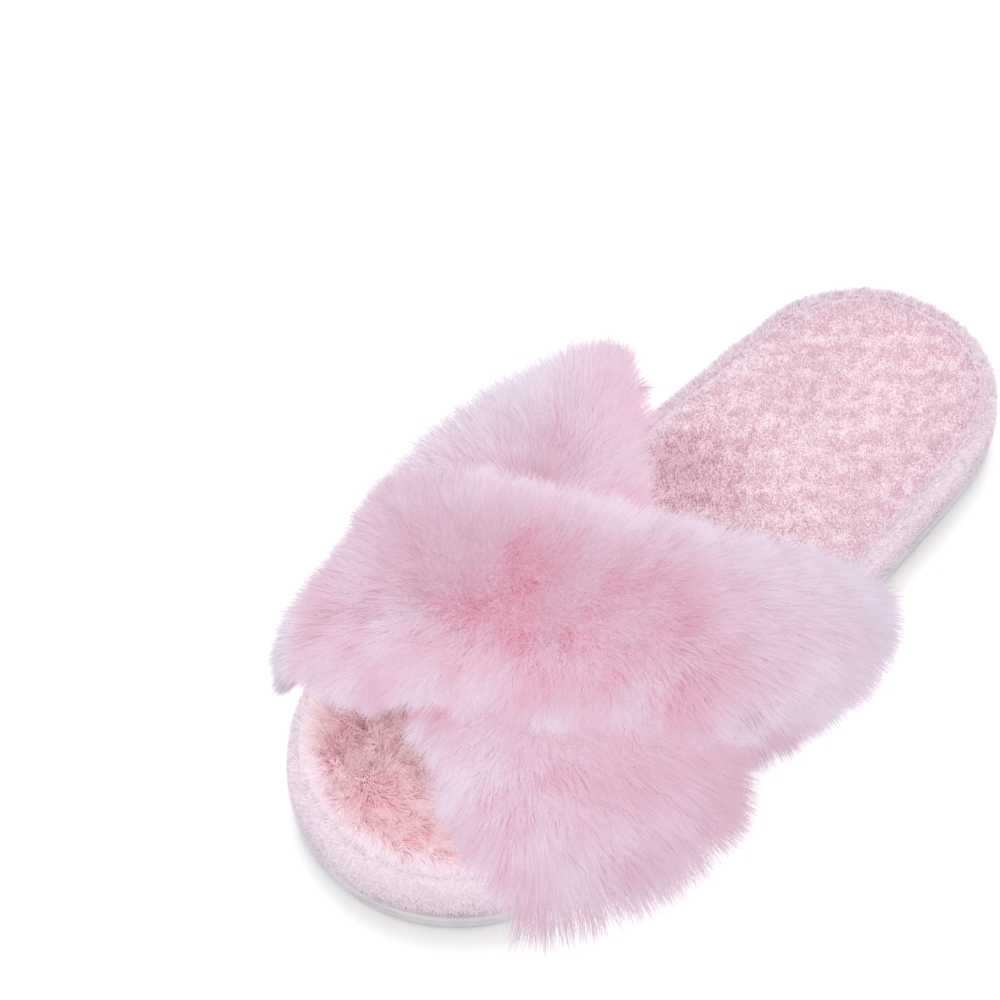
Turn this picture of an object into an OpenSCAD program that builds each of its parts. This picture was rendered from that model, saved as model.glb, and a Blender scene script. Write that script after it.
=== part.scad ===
// Fluffy cross-band house slipper, left foot.
// The toe points to -Y, the big-toe side is -X, +Z is up and the sole rests on z = 0.
// Two faux-fur straps cross over one last, a smooth foot-like surface above the sole.

/* [Sole outline] */
// Length of the sole from toe to heel
sole_length = 262; // [245:1:280]
// Width of the heel end
heel_width = 78; // [72:1:84]
// Width across the ball of the foot
ball_width = 97; // [92:1:102]
// Width of the rounded toe end
toe_width = 94; // [88:1:98]
// How far the toe end leans to the big-toe side of the heel
toe_lean = 10.4; // [4:0.2:14]
// Depth of the waist on each side of the sole
waist = 1.6; // [0:0.2:4]

/* [Sole layers] */
// Thickness of the moulded outsole
outsole_height = 7.2; // [6:0.2:9]
// Depth of the tread grooves
tread_depth = 1.6; // [1:0.1:2.2]
// Thickness of the midsole foam board
midsole_height = 6.8; // [5:0.2:8]
// Thickness of the stiff insole board
board_height = 1.2; // [0.8:0.1:1.6]
// Thickness of the soft comfort foam
comfort_height = 5.6; // [4:0.2:8]
// Thickness of the footbed plush
plush_height = 4.5; // [3:0.25:6]
// Thickness of the fleece wrap around the rim
rim_width = 4.6; // [4.2:0.1:5]

/* [Straps] */
// Highest point of the last above the rim, at the middle of the crossing
last_height = 33; // [29:1:38]
// How much the last rises towards the heel, in mm for each mm
last_rise = 0.22; // [0.16:0.02:0.28]
// Length of the faux-fur pile
pile = 23; // [16:1:26]
// Thickness of the fur where the upper strap presses it flat
pressed_pile = 3; // [2:0.25:4]
// Thickness of the strap lining
lining_thickness = 1; // [0.8:0.1:1.2]
// Thickness of the strap padding
padding_thickness = 2.5; // [2:0.25:3.5]

/* [Stitching] */
// Distance from one stitch to the next
stitch_pitch = 4.4; // [4:0.2:7]
// Diameter of the thread
thread = 0.8; // [0.6:0.1:0.9]

/* [Hidden] */
$fn = 24;
gap = 0.06;

// Heights of the layers, from the floor up.
midsole_z = outsole_height + gap;
board_z = midsole_z + midsole_height + gap;
comfort_z = board_z + board_height + gap;
plush_z = comfort_z + comfort_height + gap;
footbed_z = plush_z + plush_height;
rim_top = plush_z + 0.6;
arch_z = rim_top + 2.4;

// Distances in from the edge of the outsole.
rim_inset = 0.4;
rim_inner = rim_inset + rim_width;
pocket_inset = rim_inset + 2.1;
core_inset = rim_inner + 0.1;
skirt_width = 2.4;
notch_height = 1.4;
notch_inset = rim_inset + 0.9;

// Circles that the sole outline is wrapped around: [x, y, radius].
lean_x = toe_lean / 2;
toe_circle = [-lean_x, -(sole_length - toe_width) / 2, toe_width / 2];
ball_circle = [lean_x - 2, -45, ball_width / 2];
heel_circle = [lean_x, (sole_length - heel_width) / 2, heel_width / 2];

// A strap: y at the big-toe side (front, rear), y at the outer side (front, rear),
// and how far its middle bows towards the toe.
top_strap = [-92, -49, -38, 14, 14];
under_strap = [-42, 28, -102, -54, 14];
strap_stack = lining_thickness + padding_thickness + pressed_pile + 3 * gap;
cloth = 1.2;
steps_across = 28;
steps_along = 12;

// The last: its ridge between the sides, how round each side is, and how its rise levels off
// behind the crossing.
crossing_y = -43;
arch_peak = -0.32;
medial_power = 2.6;
lateral_power = 1.75;
last_dome = 0.0021;

// ---------- outline of the sole ----------

function on_circle(c, r, a) = [c.x + r * cos(a), c.y + r * sin(a)];

// Angle of the outward normal on the tangent from circle a to circle b, walked anticlockwise.
function tangent_angle(a, b) =
    let (d = [b.x - a.x, b.y - a.y], k = (a[2] - b[2]) / norm(d))
    atan2(d.y, d.x) - acos(k);

function arc_points(c, r, a0, a1, n) =
    [for (i = [0:n]) on_circle(c, r, a0 + (a1 - a0) * i / n)];

function side_points(p, q, n) = [for (i = [1:n - 1]) p + (q - p) * i / n];

function pinch(p) =
    let (k = cos(min(90, abs(p.y - 12) * 90 / 75)))
    [p.x - sign(p.x - lean_x / 2) * waist * k * k, p.y];

// The sole outline, moved in from the edge by inset, walked anticlockwise from the toe.
function outline(inset = 0) =
    let (
        toe_r = toe_circle[2] - inset, ball_r = ball_circle[2] - inset, heel_r = heel_circle[2] - inset,
        to_ball = tangent_angle(toe_circle, ball_circle),
        to_heel = tangent_angle(ball_circle, heel_circle),
        back = tangent_angle(heel_circle, toe_circle) + 360,
        p1 = on_circle(ball_circle, ball_r, to_heel), p2 = on_circle(heel_circle, heel_r, to_heel),
        p3 = on_circle(heel_circle, heel_r, back), p4 = on_circle(toe_circle, toe_r, back)
    )
    [for (p = concat(
        arc_points(toe_circle, toe_r, back, to_ball + 360, 26),
        arc_points(ball_circle, ball_r, to_ball, to_heel, 5),
        side_points(p1, p2, 10),
        arc_points(heel_circle, heel_r, to_heel, back, 26),
        side_points(p3, p4, 14)
    )) pinch(p)];

// Where the outline crosses a line of constant y: side -1 is the big-toe side, 1 the outer side.
function edge_x(path, y, side) =
    let (
        n = len(path),
        xs = [for (i = [0:n - 1]) let (a = path[i], b = path[(i + 1) % n])
              if ((a.y <= y) != (b.y <= y)) a.x + (b.x - a.x) * (y - a.y) / (b.y - a.y)]
    )
    side < 0 ? min(xs) : max(xs);

module layer(inset, z0, z1) {
    translate([0, 0, z0]) linear_extrude(z1 - z0) polygon(outline(inset));
}

module ring_layer(outer, inner, z0, z1) {
    difference() {
        layer(outer, z0, z1);
        layer(inner, z0 - 1, z1 + 1);
    }
}

// ---------- the last that the straps lie on ----------

last_edge = outline(rim_inner);

function smooth(t) = let (k = min(1, max(0, t))) k * k * (3 - 2 * k);

// Height of the arch for q from -1 at the big-toe side to 1 at the outer side.
function arch(q) =
    let (
        medial = q < arch_peak,
        t = medial ? (arch_peak - q) / (1 + arch_peak) : (q - arch_peak) / (1 - arch_peak),
        p = medial ? medial_power : lateral_power
    )
    pow(max(0, 1 - pow(min(1, t), p)), 1 / p);

function last_z(q, y) =
    let (behind = y - crossing_y)
    arch_z + (last_height + last_rise * behind - last_dome * behind * behind) * arch(q);

// Front or rear border of a strap at q; rear is 0 at the front and 1 at the rear.
function border_y(strap, q, rear) =
    let (medial = strap[0] + (strap[1] - strap[0]) * rear, lateral = strap[2] + (strap[3] - strap[2]) * rear)
    medial + (lateral - medial) * (q + 1) / 2 - strap[4] * (1 - q * q);

// Distance along y from a point to the strap's nearer border, negative inside the strap.
function outside(strap, q, y) = max(border_y(strap, q, 0) - y, y - border_y(strap, q, 1));

function last_point(strap, q, v) =
    let (
        y = border_y(strap, q, (v + 1) / 2),
        medial = edge_x(last_edge, y, -1), lateral = edge_x(last_edge, y, 1)
    )
    [(medial + lateral) / 2 + q * (lateral - medial) / 2, y, last_z(q, y)];

// Grid of points on the last. The first and last rows go straight down into the rim.
function q_row(i) = sin(-90 + 180 * (i - 1) / (steps_across - 2));
function last_row(strap, i) =
    let (tab = i == 0 || i == steps_across, k = min(steps_across - 1, max(1, i)))
    [for (j = [0:steps_along])
        let (p = last_point(strap, q_row(k), 2 * j / steps_along - 1))
        tab ? [p.x, p.y, comfort_z + 0.3] : p];
function last_grid(strap) = [for (i = [0:steps_across]) last_row(strap, i)];

function unit(a) = a / norm(a);
function grid_normal(g, i, j) =
    let (
        across = g[min(i + 1, steps_across)][j] - g[max(i - 1, 0)][j],
        along = g[i][min(j + 1, steps_along)] - g[i][max(j - 1, 0)],
        n = unit(cross(across, along))
    )
    i <= 1 ? unit([n.x, n.y, 0]) : i >= steps_across - 1 ? unit([n.x, n.y, 0]) : n;

// How far a strap is lifted off the last: the top strap climbs over the under strap.
function lift(strap, i, p) =
    strap != top_strap ? 0 :
    let (q = q_row(min(steps_across - 1, max(1, i))))
    (strap_stack + 0.5) * smooth((17 - outside(under_strap, q, p.y)) / 13) * smooth(arch(q) * 1.7);

// How far up the arch a row is: 0 in the rim pocket, 1 on the free part of the strap.
function free_part(i) = smooth((min(i, steps_across - i) - 1) / 2.2);

// How much longer the pile grows towards a strap's ends, as a share of its length.
function end_growth(strap, q, v) =
    let (growth = strap == top_strap ? (q < 0 ? -0.15 : 0.12 + 0.4 * v) : (q < 0 ? 0.5 : 0.38))
    growth * pow(abs(q), 3);

// Free height for the pile: pressed flat under the top strap, shorter at the borders.
function pile_height(strap, i, j, p) =
    let (
        q = q_row(min(steps_across - 1, max(1, i))),
        v = 2 * j / steps_along - 1,
        open = strap == top_strap ? 1 : smooth((outside(top_strap, q, p.y) - 4) / 14),
        tall = pile * (1 - 0.35 * pow(abs(v), 4)) * (1 + end_growth(strap, q, v))
    )
    cloth + (pressed_pile - cloth + (tall - pressed_pile) * open) * free_part(i);

function lining_base(i) = 0.08;
function lining_top(i) = lining_base(i) + lining_thickness - 0.12;
function fur_base(i) = lining_top(i) + gap + (padding_thickness + gap) * free_part(i);

// A closed shell between two offsets of a grid of points.
module grid_shell(low, high) {
    rows = len(low);
    cols = len(low[0]);
    count = rows * cols;
    points = concat([for (r = low) each r], [for (r = high) each r]);
    function quad(a, b, c, d) = [[a, c, b], [a, d, c]];
    faces = concat(
        [for (i = [0:rows - 2], j = [0:cols - 2]) let (a = i * cols + j)
            each quad(a, a + 1, a + cols + 1, a + cols)],
        [for (i = [0:rows - 2], j = [0:cols - 2]) let (a = count + i * cols + j)
            each quad(a, a + cols, a + cols + 1, a + 1)],
        [for (i = [0:rows - 2]) let (a = i * cols)
            each quad(a, a + cols, a + cols + count, a + count)],
        [for (i = [0:rows - 2]) let (a = i * cols + cols - 1)
            each quad(a, a + count, a + cols + count, a + cols)],
        [for (j = [0:cols - 2]) each quad(j, j + count, j + 1 + count, j + 1)],
        [for (j = [0:cols - 2]) let (a = (rows - 1) * cols + j)
            each quad(a, a + 1, a + 1 + count, a + count)]
    );
    polyhedron(points, faces);
}

function offset_row(strap, g, i, height) =
    [for (j = [0:steps_along])
        g[i][j] + grid_normal(g, i, j) * (lift(strap, i, g[i][j]) + height[j])];

module strap_lining(strap) {
    g = last_grid(strap);
    flat = [for (j = [0:steps_along]) 1];
    grid_shell(
        [for (i = [0:steps_across]) offset_row(strap, g, i, flat * lining_base(i))],
        [for (i = [0:steps_across]) offset_row(strap, g, i, flat * lining_top(i))]
    );
}

// The padding stops one grid step short of the borders, where lining and fur are sewn together.
module strap_padding(strap) {
    g = last_grid(strap);
    flat = [for (j = [0:steps_along]) 1];
    rows = [3:steps_across - 3];
    function inner(r) = [for (j = [1:steps_along - 1]) r[j]];
    grid_shell(
        [for (i = rows) inner(offset_row(strap, g, i, flat * (lining_top(i) + gap / 2)))],
        [for (i = rows) inner(offset_row(strap, g, i, flat * (fur_base(i) - gap / 2)))]
    );
}

module strap_fur(strap) {
    g = last_grid(strap);
    low = [for (i = [0:steps_across]) [for (j = [0:steps_along]) fur_base(i)]];
    pile_top = [for (i = [0:steps_across])
        [for (j = [0:steps_along]) fur_base(i) + pile_height(strap, i, j, g[i][j])]];
    grid_shell(
        [for (i = [0:steps_across]) offset_row(strap, g, i, low[i])],
        [for (i = [0:steps_across]) offset_row(strap, g, i, pile_top[i])]
    );
}

// ---------- stitches ----------

// One straight stitch from a to b.
module stitch(a, b) {
    d = b - a;
    translate(a) rotate([0, acos(d.z / norm(d)), atan2(d.y, d.x)])
        cylinder(d = thread, h = norm(d), $fn = 16);
}

// Walks a closed path and gives the points at equal distances along it.
function running_length(path) =
    [for (i = 0, s = 0; i <= len(path);
          s = s + (i < len(path) ? norm(path[(i + 1) % len(path)] - path[i]) : 0), i = i + 1) s];
function at_length(path, sums, s) =
    let (
        n = len(path),
        k = [for (i = [0:n - 1]) if (sums[i] <= s && s <= sums[i + 1]) i][0],
        a = path[k], b = path[(k + 1) % n], step = sums[k + 1] - sums[k]
    )
    step < 0.001 ? a : a + (b - a) * (s - sums[k]) / step;

function in_pocket(p) =
    let (
        front = p.x < 0 ? [top_strap[0], under_strap[0]] : [top_strap[2], under_strap[2]],
        rear = p.x < 0 ? [top_strap[1], under_strap[1]] : [top_strap[3], under_strap[3]]
    )
    (p.y > front[0] - 6 && p.y < rear[0] + 6) || (p.y > front[1] - 6 && p.y < rear[1] + 6);

module stitch_ring(inset, z, skip_pockets) {
    path = outline(inset);
    sums = running_length(path);
    total = sums[len(path)];
    count = floor(total / stitch_pitch);
    for (i = [0:count - 1]) {
        a = at_length(path, sums, total * i / count);
        b = at_length(path, sums, total * (i + 0.72) / count);
        if (!skip_pockets || !in_pocket(a)) stitch([a.x, a.y, z], [b.x, b.y, z]);
    }
}

// Seam stitches along both long borders of a strap, between its lining and its fur.
module strap_seam_stitches(strap) {
    g = last_grid(strap);
    function seam_row(i) =
        offset_row(strap, g, i, [for (j = [0:steps_along]) lining_top(i) + gap + padding_thickness / 2]);
    for (end = [0, 1], i = [4:steps_across - 5]) {
        j = end * steps_along;
        k = end == 0 ? 1 : steps_along - 1;
        a = (seam_row(i)[j] + seam_row(i)[k]) / 2;
        b = (seam_row(i + 1)[j] + seam_row(i + 1)[k]) / 2;
        stitch(a, a + (b - a) * 0.75);
    }
}

// ---------- sole parts ----------

// A zigzag tread groove across the sole at y.
module tread_groove(y) {
    points = 8;
    half = ball_width / 2 + 8;
    function bend(k) = [-half + 2 * half * k / points, y + (k % 2 == 0 ? -4 : 4)];
    translate([0, 0, -1]) linear_extrude(tread_depth + 1)
        polygon(concat(
            [for (k = [0:points]) bend(k) - [0, 1.8]],
            [for (k = [points:-1:0]) bend(k) + [0, 1.8]]
        ));
}

module outsole() {
    color("whitesmoke") difference() {
        union() {
            layer(1.4, 0, 2);
            layer(0.5, 2, outsole_height - 1.4);
            layer(0, outsole_height - 1.4, outsole_height);
        }
        intersection() {
            layer(9, -1, tread_depth);
            for (y = [-sole_length / 2 + 20:13:sole_length / 2 - 14]) tread_groove(y);
        }
    }
}

module midsole() {
    color("gainsboro") layer(core_inset, midsole_z, midsole_z + midsole_height);
}

module insole_board() {
    color("tan") layer(core_inset, board_z, board_z + board_height);
}

module comfort_foam() {
    color("lightyellow") layer(core_inset + skirt_width + 0.1, comfort_z, comfort_z + comfort_height);
}

// The plush covers the comfort foam and turns down around its side.
module footbed_plush() {
    color("pink") difference() {
        union() {
            layer(core_inset, comfort_z, footbed_z - 2);
            layer(core_inset + 2, footbed_z - 2, footbed_z);
        }
        layer(core_inset + skirt_width, comfort_z - 1, plush_z);
    }
}

// A slot in the rim for the end of a strap, open at the top.
module strap_pocket(strap, side) {
    front = side < 0 ? strap[0] : strap[2];
    rear = side < 0 ? strap[1] : strap[3];
    intersection() {
        ring_layer(pocket_inset, rim_inner + 1, comfort_z, rim_top + 1);
        translate([side < 0 ? -100 : 0, front - 1.2, 0]) cube([100, rear - front + 2.4, 60]);
    }
}

module rim_wrap() {
    color("thistle") difference() {
        union() {
            ring_layer(notch_inset, rim_inner, midsole_z, midsole_z + notch_height + 0.01);
            ring_layer(rim_inset, rim_inner, midsole_z + notch_height, rim_top - 1.5);
            ring_layer(rim_inset + 1, rim_inner, rim_top - 1.51, rim_top);
        }
        for (strap = [top_strap, under_strap], side = [-1, 1]) strap_pocket(strap, side);
    }
}

module rim_stitching() {
    color("plum") stitch_ring(thread / 2 + 0.35, midsole_z + notch_height / 2, false);
}

module footbed_seam() {
    color("hotpink") stitch_ring(rim_inner - 1, rim_top + thread / 2 + 0.05, true);
}

module under_strap_lining() { color("mistyrose") strap_lining(under_strap); }
module under_strap_padding() { color("lightyellow") strap_padding(under_strap); }
module under_strap_fur() { color("lavenderblush") strap_fur(under_strap); }
module under_strap_seam() { color("hotpink") strap_seam_stitches(under_strap); }
module top_strap_lining() { color("mistyrose") strap_lining(top_strap); }
module top_strap_padding() { color("lightyellow") strap_padding(top_strap); }
module top_strap_fur() { color("pink") strap_fur(top_strap); }
module top_strap_seam() { color("hotpink") strap_seam_stitches(top_strap); }

outsole();
midsole();
insole_board();
comfort_foam();
footbed_plush();
rim_wrap();
rim_stitching();
footbed_seam();
under_strap_lining();
under_strap_padding();
under_strap_fur();
under_strap_seam();
top_strap_lining();
top_strap_padding();
top_strap_fur();
top_strap_seam();
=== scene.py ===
"""Looks of a fluffy cross-band house slipper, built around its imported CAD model.

Lengths in this script are in millimetres and become metres where a mesh is made.
The toe points to -Y, the big-toe side is -X, and the slipper stands on z = 0.
"""

import math

import bpy
import numpy as np
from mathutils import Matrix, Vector


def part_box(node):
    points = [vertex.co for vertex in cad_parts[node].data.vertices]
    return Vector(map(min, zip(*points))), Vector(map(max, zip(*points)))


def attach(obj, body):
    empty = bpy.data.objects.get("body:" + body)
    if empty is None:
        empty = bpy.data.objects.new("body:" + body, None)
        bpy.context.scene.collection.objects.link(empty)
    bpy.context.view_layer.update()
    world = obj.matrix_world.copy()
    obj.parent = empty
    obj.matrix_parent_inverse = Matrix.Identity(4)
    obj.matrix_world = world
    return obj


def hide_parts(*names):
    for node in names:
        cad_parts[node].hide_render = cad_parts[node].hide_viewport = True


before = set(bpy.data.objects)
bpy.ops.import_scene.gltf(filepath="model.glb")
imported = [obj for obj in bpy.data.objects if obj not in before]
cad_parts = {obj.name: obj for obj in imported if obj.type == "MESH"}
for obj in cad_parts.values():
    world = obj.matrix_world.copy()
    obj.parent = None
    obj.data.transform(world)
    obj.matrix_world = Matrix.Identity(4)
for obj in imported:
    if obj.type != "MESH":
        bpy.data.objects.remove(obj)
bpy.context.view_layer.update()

MM = 0.001
SEED = 7

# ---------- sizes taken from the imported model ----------


def box_mm(node):
    low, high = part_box(node)
    return np.array(low) / MM, np.array(high) / MM


SOLE_LOW, SOLE_HIGH = box_mm("outsole")
OUTSOLE_TOP = SOLE_HIGH[2]
RIM_TOP = box_mm("rim_wrap")[1][2]
FOOTBED_TOP = box_mm("footbed_plush")[1][2]
POCKET_FLOOR = box_mm("top_strap_lining")[0][2]

# The last that the straps lie on, with the same shape as in the CAD model: how far its edge is in from
# the sole's, its foot, its height and rise at the crossing, and how round each of its sides is.
LAST_INSET = 5.0
LAST_FOOT = RIM_TOP + 2.4
LAST_HEIGHT = 33.0
LAST_RISE = 0.22
LAST_DOME = 0.0021
PEAK = -0.32
MEDIAL_POWER = 2.6
LATERAL_POWER = 1.75
CROSSING_Y = -43.0

# How far the top strap is lifted over the under strap, and the length of the fur's pile.
STRAP_STACK = 7.2
PILE = 23.0

# A strap's borders: y at the big-toe side (front, rear), at the outer side (front, rear), and its bow.
TOP_STRAP = (-92.0, -49.0, -38.0, 14.0, 14.0)
UNDER_STRAP = (-42.0, 28.0, -102.0, -54.0, 14.0)


# ---------- small numeric helpers ----------


def smooth(t):
    k = np.clip(t, 0.0, 1.0)
    return k * k * (3.0 - 2.0 * k)


def mix(a, b, t):
    return a + (b - a) * t


def unit(v):
    length = np.linalg.norm(v, axis=-1, keepdims=True)
    return v / np.maximum(length, 1e-9)


def wave_noise(points, scale, seed, waves=9):
    """Smooth noise from -1 to 1: a sum of sine waves of about one wavelength, in random directions."""
    rng = np.random.default_rng(seed)
    total = np.zeros(points.shape[:-1])
    for _ in range(waves):
        direction = unit(rng.normal(size=3)) * (2 * math.pi / scale) * rng.uniform(0.6, 1.6)
        total += np.sin(points @ direction + rng.uniform(0, 2 * math.pi))
    return total / math.sqrt(waves) / 1.2


def noise_vector(points, scale, seed):
    return np.stack([wave_noise(points, scale, seed + k) for k in range(3)], axis=-1)


# ---------- outline of the sole ----------


def cad_outline():
    """The edge of the outsole's top face, as points in order round the sole."""
    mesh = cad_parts["outsole"].data
    points = np.array([v.co for v in mesh.vertices]) / MM
    edge = points[points[:, 2] > OUTSOLE_TOP - 0.1][:, :2]
    edge = np.unique(np.round(edge, 3), axis=0)
    spine = np.clip(edge[:, 1], SOLE_LOW[1] + 45, SOLE_HIGH[1] - 38)
    turn = np.arctan2((edge[:, 1] - spine) + (edge[:, 1] * 0.35), edge[:, 0])
    return edge[np.argsort(turn)]


def even_loop(points, count):
    """A closed loop through the points, at equal steps and rounded at the corners."""
    closed = np.vstack([points, points[:1]])
    along = np.concatenate([[0], np.cumsum(np.linalg.norm(np.diff(closed, axis=0), axis=1))])
    steps = np.linspace(0, along[-1], count, endpoint=False)
    loop = np.stack([np.interp(steps, along, closed[:, k]) for k in range(2)], axis=1)
    reach = max(1, count // 90)
    weights = np.hanning(2 * reach + 3)[1:-1]
    weights /= weights.sum()
    rounded = sum(w * np.roll(loop, k - reach, axis=0) for k, w in enumerate(weights))
    return rounded


def loop_normals(loop):
    tangent = unit(np.roll(loop, -1, axis=0) - np.roll(loop, 1, axis=0))
    return np.stack([tangent[:, 1], -tangent[:, 0]], axis=1)


AROUND = 720
EDGE = even_loop(cad_outline(), AROUND)
EDGE_NORMAL = loop_normals(EDGE)
if (EDGE_NORMAL * (EDGE - EDGE.mean(axis=0))).sum() < 0:
    EDGE = EDGE[::-1]
    EDGE_NORMAL = loop_normals(EDGE)


def inset_edge(distance):
    return EDGE - EDGE_NORMAL * np.asarray(distance)[..., None]


LAST_EDGE = inset_edge(LAST_INSET)


def edge_x(y, side):
    """Where the last's edge crosses y: side -1 is the big-toe side, 1 the outer side."""
    half = LAST_EDGE[(LAST_EDGE[:, 0] * side) > 0]
    order = np.argsort(half[:, 1])
    return np.interp(y, half[order, 1], half[order, 0])


# ---------- the last and the straps on it ----------


def arch(q):
    """Height of the arch from 0 to 1: steep on the big-toe side, sloping away on the outer side."""
    medial = np.clip((PEAK - q) / (1 + PEAK), 0, 1)
    lateral = np.clip((q - PEAK) / (1 - PEAK), 0, 1)
    steep = (1 - medial ** MEDIAL_POWER) ** (1 / MEDIAL_POWER)
    gentle = (1 - lateral ** LATERAL_POWER) ** (1 / LATERAL_POWER)
    return np.where(q < PEAK, steep, gentle)


def border_y(strap, q, rear):
    """y of a strap's front (rear 0) or rear (rear 1) border. q runs from -1 to 1 across the foot."""
    medial = mix(strap[0], strap[1], rear)
    lateral = mix(strap[2], strap[3], rear)
    return mix(medial, lateral, (q + 1) / 2) - strap[4] * (1 - q * q)


def outside(strap, q, y):
    """How far a point is outside a strap's front or rear border, negative under the strap."""
    return np.maximum(border_y(strap, q, 0.0) - y, y - border_y(strap, q, 1.0))


def last_point(strap, q, v):
    """A point on the last under a strap. v runs from -1 at the strap's front border to 1 at its rear one."""
    y = border_y(strap, q, (v + 1) / 2)
    medial = edge_x(y, -1)
    lateral = edge_x(y, 1)
    x = (medial + lateral) / 2 + q * (lateral - medial) / 2
    behind = y - CROSSING_Y
    z = LAST_FOOT + (LAST_HEIGHT + LAST_RISE * behind - LAST_DOME * behind ** 2) * arch(q)
    return np.stack([x, y, z], axis=-1)


def lift(strap, q, y):
    """How far a strap stands off the last: only the top one does, where the under one is below it."""
    if strap != TOP_STRAP:
        return np.zeros_like(q)
    near = smooth((17 - outside(UNDER_STRAP, q, y)) / 13)
    return STRAP_STACK * near * smooth(arch(q) * 1.7)


def strap_surface(strap, w, v, height):
    """Points, normals and directions of a strap at a height above the strap's place on the last.

    w runs from -1 to 1 over the arch, evenly along it, and v from the front border to the rear one.
    """
    def place(w, v):
        q = np.sin(np.clip(w, -1, 1) * math.pi / 2)
        return last_point(strap, q, v)

    step = 0.01
    across = place(w + step, v) - place(w - step, v)
    along = place(w, v + step) - place(w, v - step)
    normal = unit(np.cross(across, along))
    base = place(w, v)
    q = np.sin(np.clip(w, -1, 1) * math.pi / 2)
    rise = lift(strap, q, base[..., 1]) + height
    return base + normal * rise[..., None], normal, across, along


# ---------- making meshes ----------

# How far a leaning hair's shading turns from its own flat face towards the soft surface of the pile.
SOFT_SHADING = 2.0


def mesh_from(name, verts, faces, material):
    """A smooth-shaded piece from points in millimetres and an array or list of faces."""
    mesh = bpy.data.meshes.new(name)
    verts = np.asarray(verts, dtype=np.float32) * MM
    if isinstance(faces, np.ndarray):
        sides = faces.shape[1]
        mesh.vertices.add(len(verts))
        mesh.vertices.foreach_set("co", verts.ravel())
        mesh.loops.add(faces.size)
        mesh.loops.foreach_set("vertex_index", faces.ravel().astype(np.int32))
        mesh.polygons.add(len(faces))
        mesh.polygons.foreach_set("loop_start", np.arange(0, faces.size, sides, dtype=np.int32))
        mesh.update(calc_edges=True)
    else:
        mesh.from_pydata([tuple(v) for v in verts], [], faces)
    mesh.polygons.foreach_set("use_smooth", np.full(len(mesh.polygons), True))
    mesh.materials.append(material)
    piece = bpy.data.objects.new(name, mesh)
    bpy.context.scene.collection.objects.link(piece)
    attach(piece, "root")
    return piece


def grid_faces(rows, cols, wrap=False):
    """Quads of a rows by cols grid; with wrap the last column joins the first."""
    i, j = np.meshgrid(np.arange(rows - 1), np.arange(cols if wrap else cols - 1), indexing="ij")
    k = (j + 1) % cols
    quads = np.stack([i * cols + j, i * cols + k, (i + 1) * cols + k, (i + 1) * cols + j], axis=-1)
    return quads.reshape(-1, 4)


def float_attribute(piece, name, values):
    attribute = piece.data.attributes.new(name, "FLOAT", "POINT")
    attribute.data.foreach_set("value", np.asarray(values, dtype=np.float32).ravel())


def strand_piece(name, roots, directions, normals, lengths, widths, material, bend, shade, segments=3,
                 seed=0):
    """Tapered flat hairs that face outwards and shade like the soft surface they form.

    Light passes them, as it does through fine fur, so they cast no shade and the pile's depth is painted
    shade in their colours.

    bend(points, t) is the change of direction t of the way along each hair.
    """
    rng = np.random.default_rng(seed)
    count = len(roots)
    centre = roots.copy()
    heading = unit(directions)
    side = unit(np.cross(heading, normals + rng.normal(size=(count, 3)) * 0.12))
    rows = []
    along = []
    for s in range(segments):
        t = s / segments
        half = (widths * (1 - 0.55 * t ** 1.5) / 2)[:, None]
        rows += [centre - side * half, centre + side * half]
        along += [t, t]
        heading = unit(heading + bend(centre, t))
        centre = centre + heading * (lengths / segments)[:, None]
        side = unit(side - heading * (side * heading).sum(axis=1, keepdims=True))
    rows.append(centre)
    along.append(1.0)
    verts = np.stack(rows, axis=1)
    verts[..., 2] = np.maximum(verts[..., 2], 0.4)
    per_hair = verts.shape[1]
    pattern = []
    for s in range(segments - 1):
        a = 2 * s
        pattern += [[a, a + 1, a + 3], [a, a + 3, a + 2]]
    a = 2 * (segments - 1)
    pattern.append([a, a + 1, a + 2])
    faces = (np.array(pattern)[None] + (np.arange(count) * per_hair)[:, None, None]).reshape(-1, 3)
    piece = mesh_from(name, verts.reshape(-1, 3), faces, material)
    float_attribute(piece, "along", np.tile(along, (count, 1)))
    float_attribute(piece, "shade", np.repeat(shade, per_hair))
    leaning = 1 - (heading * unit(normals)).sum(axis=1, keepdims=True) ** 2
    soft = unit(np.cross(side, heading) + normals * SOFT_SHADING * leaning)
    attribute = piece.data.attributes.new("custom_normal", "FLOAT_VECTOR", "POINT")
    attribute.data.foreach_set("vector", np.repeat(soft, per_hair, axis=0).astype(np.float32).ravel())
    piece.visible_shadow = False
    piece.visible_diffuse = False
    return piece


# ---------- materials ----------


def new_material(name):
    material = bpy.data.materials.new(name)
    material.use_nodes = True
    nodes = material.node_tree.nodes
    return material, nodes, material.node_tree.links, nodes["Principled BSDF"]


def ramp_node(nodes, stops):
    ramp = nodes.new("ShaderNodeValToRGB")
    ramp.color_ramp.elements.remove(ramp.color_ramp.elements[1])
    for k, (place, colour) in enumerate(stops):
        element = ramp.color_ramp.elements[0] if k == 0 else ramp.color_ramp.elements.new(place)
        element.position = place
        element.color = (*srgb(colour), 1)
    return ramp


def srgb(colour):
    """An sRGB colour from 0 to 255 as the linear colour that nodes use."""
    c = np.array(colour) / 255
    return tuple(np.where(c <= 0.04045, c / 12.92, ((c + 0.055) / 1.055) ** 2.4))


def attribute_node(nodes, name):
    node = nodes.new("ShaderNodeAttribute")
    node.attribute_name = name
    return node


def maths(nodes, links, operation, a, b):
    node = nodes.new("ShaderNodeMath")
    node.operation = operation
    for k, value in enumerate((a, b)):
        if isinstance(value, (int, float)):
            node.inputs[k].default_value = value
        else:
            links.new(value, node.inputs[k])
    return node.outputs[0]


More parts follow.
